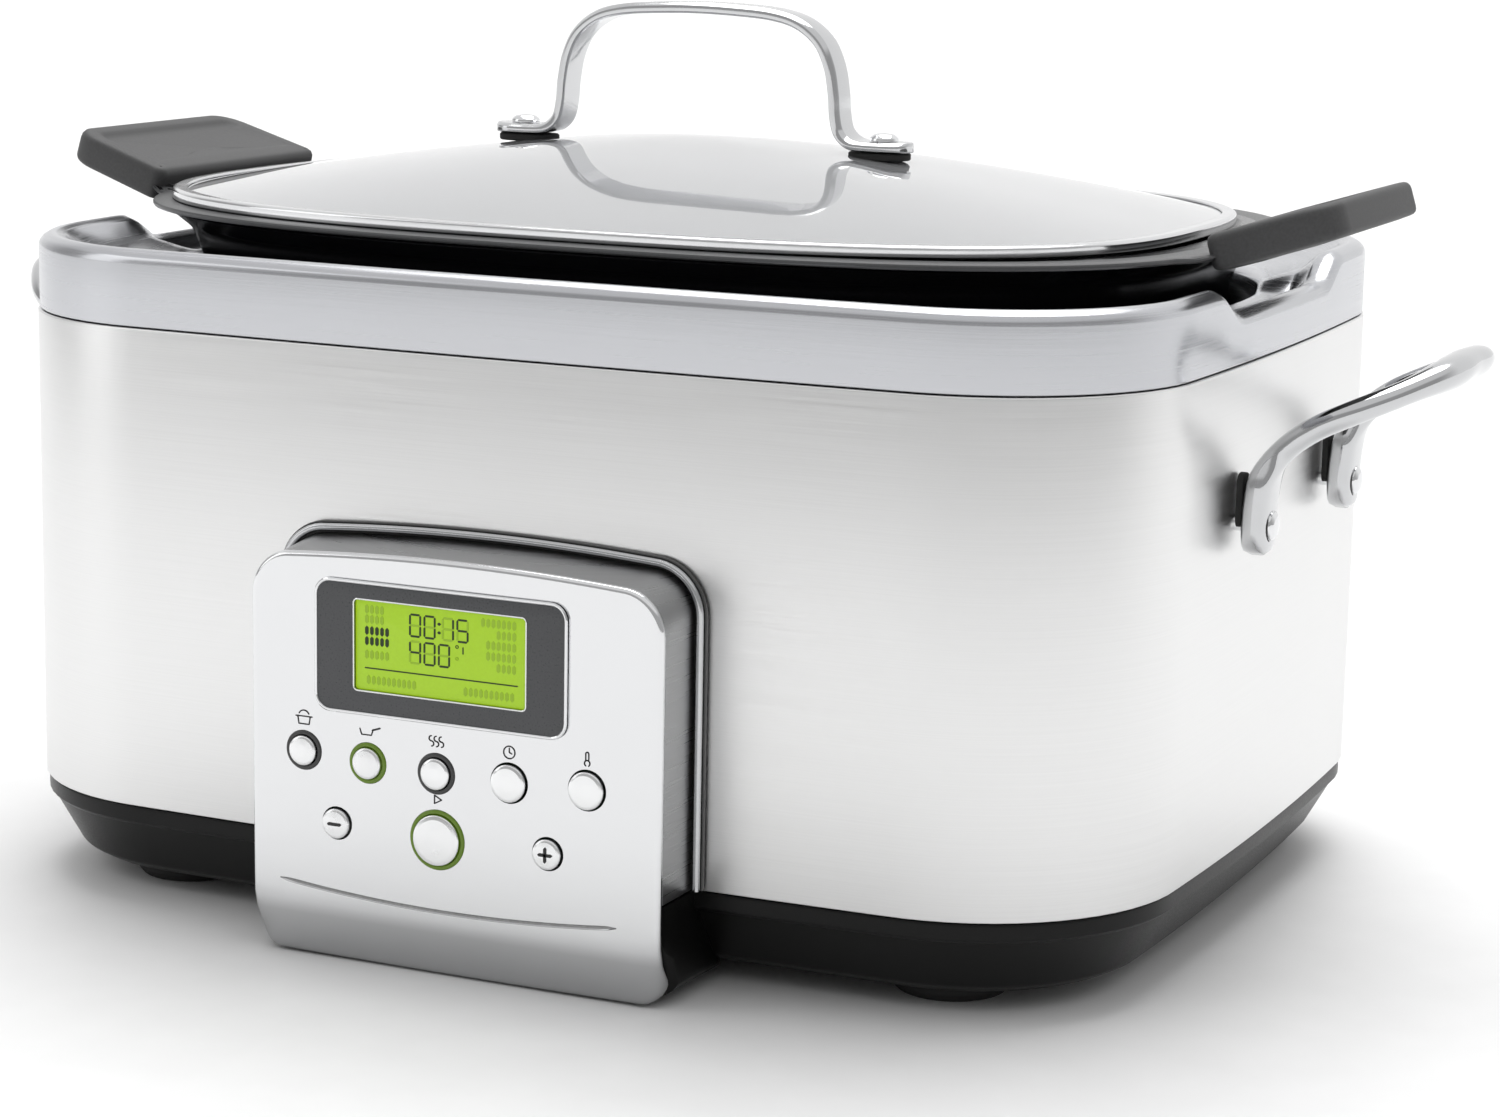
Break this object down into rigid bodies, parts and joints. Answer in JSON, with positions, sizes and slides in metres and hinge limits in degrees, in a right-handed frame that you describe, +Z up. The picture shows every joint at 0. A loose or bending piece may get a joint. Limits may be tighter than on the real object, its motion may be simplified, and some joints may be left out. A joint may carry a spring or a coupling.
{
  "type": "slow cooker",
  "caption": "Countertop slow cooker with a steel shell, lift-out nonstick pot, glass lid, side handles and a button panel with a lit display.",
  "frame": {"origin": "on the table, at the middle of the whole object's footprint; the body's own centre is 5.7 mm behind it because the control panel stands out in front", "axes": "+Z up; +X to the cook's right, along the longest side; the control panel faces -Y"},
  "size_m": [0.5186, 0.3514, 0.2881],
  "materials": {
    "brushed_steel": "fine horizontal brushing, satin",
    "satin_steel": "satin, nearly polished",
    "polished_steel": "mirror polished",
    "button_steel": "light satin",
    "black_plastic": "gloss black, finely textured underneath",
    "black_rubber": "matt black",
    "grey_silicone": "matt dark grey silicone",
    "nonstick": "satin black nonstick coating on aluminium",
    "bare_aluminium": "bare, satin",
    "lid_glass": "clear tempered glass",
    "bezel_plastic": "dark grey, smooth",
    "screen_green": "lit yellow-green liquid crystal display",
    "ring_green": "lit green light ring",
    "ring_grey": "dark grey, unlit light ring",
    "circuit_board": "green glass-fibre board"
  },
  "bodies": {
    "housing": {"base_tray": "black_plastic", "bottom_cover": "black_plastic", "foot_front_left": "black_rubber", "foot_front_right": "black_rubber", "foot_rear_left": "black_rubber", "foot_rear_right": "black_rubber", "outer_shell": "brushed_steel", "top_collar": "satin_steel", "inner_liner": "bare_aluminium", "heating_plate": "bare_aluminium", "heating_element": "bare_aluminium", "heat_shield": "bare_aluminium", "sensor_spring": "polished_steel", "sensor_bracket": "brushed_steel", "panel_housing": "brushed_steel", "panel_trim_ring": "polished_steel", "panel_fascia": "polished_steel", "display_bezel": "bezel_plastic", "display_screen": "screen_green", "control_board": "circuit_board", "slow_cook_light_ring": "ring_grey", "saute_light_ring": "ring_green", "steam_light_ring": "ring_grey", "start_light_ring": "ring_green", "power_board": "circuit_board", "cord_gland": "black_rubber", "side_handle_left": "polished_steel", "side_handle_right": "polished_steel", "side_handle_gasket_left_front": "black_rubber", "side_handle_gasket_left_rear": "black_rubber", "side_handle_gasket_right_front": "black_rubber", "side_handle_gasket_right_rear": "black_rubber", "side_handle_rivet_left_front": "polished_steel", "side_handle_rivet_left_rear": "polished_steel", "side_handle_rivet_right_front": "polished_steel", "side_handle_rivet_right_rear": "polished_steel"},
    "pot": {"cooking_pot": "nonstick", "pot_grip_left": "grey_silicone", "pot_grip_right": "grey_silicone"},
    "lid": {"lid_glass": "lid_glass", "lid_rim": "polished_steel", "lid_handle": "polished_steel", "lid_handle_gasket_left": "black_rubber", "lid_handle_gasket_right": "black_rubber", "lid_handle_rivet_left": "polished_steel", "lid_handle_rivet_right": "polished_steel"},
    "sensor": {"sensor_plunger": "bare_aluminium"},
    "slow_cook_key": {"slow_cook_button": "button_steel"},
    "saute_key": {"saute_button": "button_steel"},
    "steam_key": {"steam_button": "button_steel"},
    "time_key": {"time_button": "button_steel"},
    "temp_key": {"temp_button": "button_steel"},
    "minus_key": {"minus_button": "button_steel"},
    "plus_key": {"plus_button": "button_steel"},
    "start_key": {"start_button": "button_steel"}
  },
  "joints": [
    {"name": "pot_lift", "type": "slide", "parent": "housing", "child": "pot", "axis": [0, 0, 1], "range_m": [0, 0.2]},
    {"name": "lid_lift", "type": "slide", "parent": "pot", "child": "lid", "axis": [0, 0, 1], "range_m": [0, 0.12]},
    {"name": "sensor_press", "type": "slide", "parent": "housing", "child": "sensor", "axis": [0, 0, -1], "range_m": [0, 0.002], "stiffness_N_per_m": 300, "springref_m": -0.002, "deforming": ["sensor_spring"]},
    {"name": "slow_cook_press", "type": "slide", "parent": "housing", "child": "slow_cook_key", "axis": [0, 1, 0], "range_m": [0, 0.0015], "stiffness_N_per_m": 300, "springref_m": -0.002},
    {"name": "saute_press", "type": "slide", "parent": "housing", "child": "saute_key", "axis": [0, 1, 0], "range_m": [0, 0.0015], "stiffness_N_per_m": 300, "springref_m": -0.002},
    {"name": "steam_press", "type": "slide", "parent": "housing", "child": "steam_key", "axis": [0, 1, 0], "range_m": [0, 0.0015], "stiffness_N_per_m": 300, "springref_m": -0.002},
    {"name": "time_press", "type": "slide", "parent": "housing", "child": "time_key", "axis": [0, 1, 0], "range_m": [0, 0.0015], "stiffness_N_per_m": 300, "springref_m": -0.002},
    {"name": "temp_press", "type": "slide", "parent": "housing", "child": "temp_key", "axis": [0, 1, 0], "range_m": [0, 0.0015], "stiffness_N_per_m": 300, "springref_m": -0.002},
    {"name": "minus_press", "type": "slide", "parent": "housing", "child": "minus_key", "axis": [0, 1, 0], "range_m": [0, 0.0015], "stiffness_N_per_m": 300, "springref_m": -0.002},
    {"name": "plus_press", "type": "slide", "parent": "housing", "child": "plus_key", "axis": [0, 1, 0], "range_m": [0, 0.0015], "stiffness_N_per_m": 300, "springref_m": -0.002},
    {"name": "start_press", "type": "slide", "parent": "housing", "child": "start_key", "axis": [0, 1, 0], "range_m": [0, 0.0015], "stiffness_N_per_m": 300, "springref_m": -0.002}
  ]
}
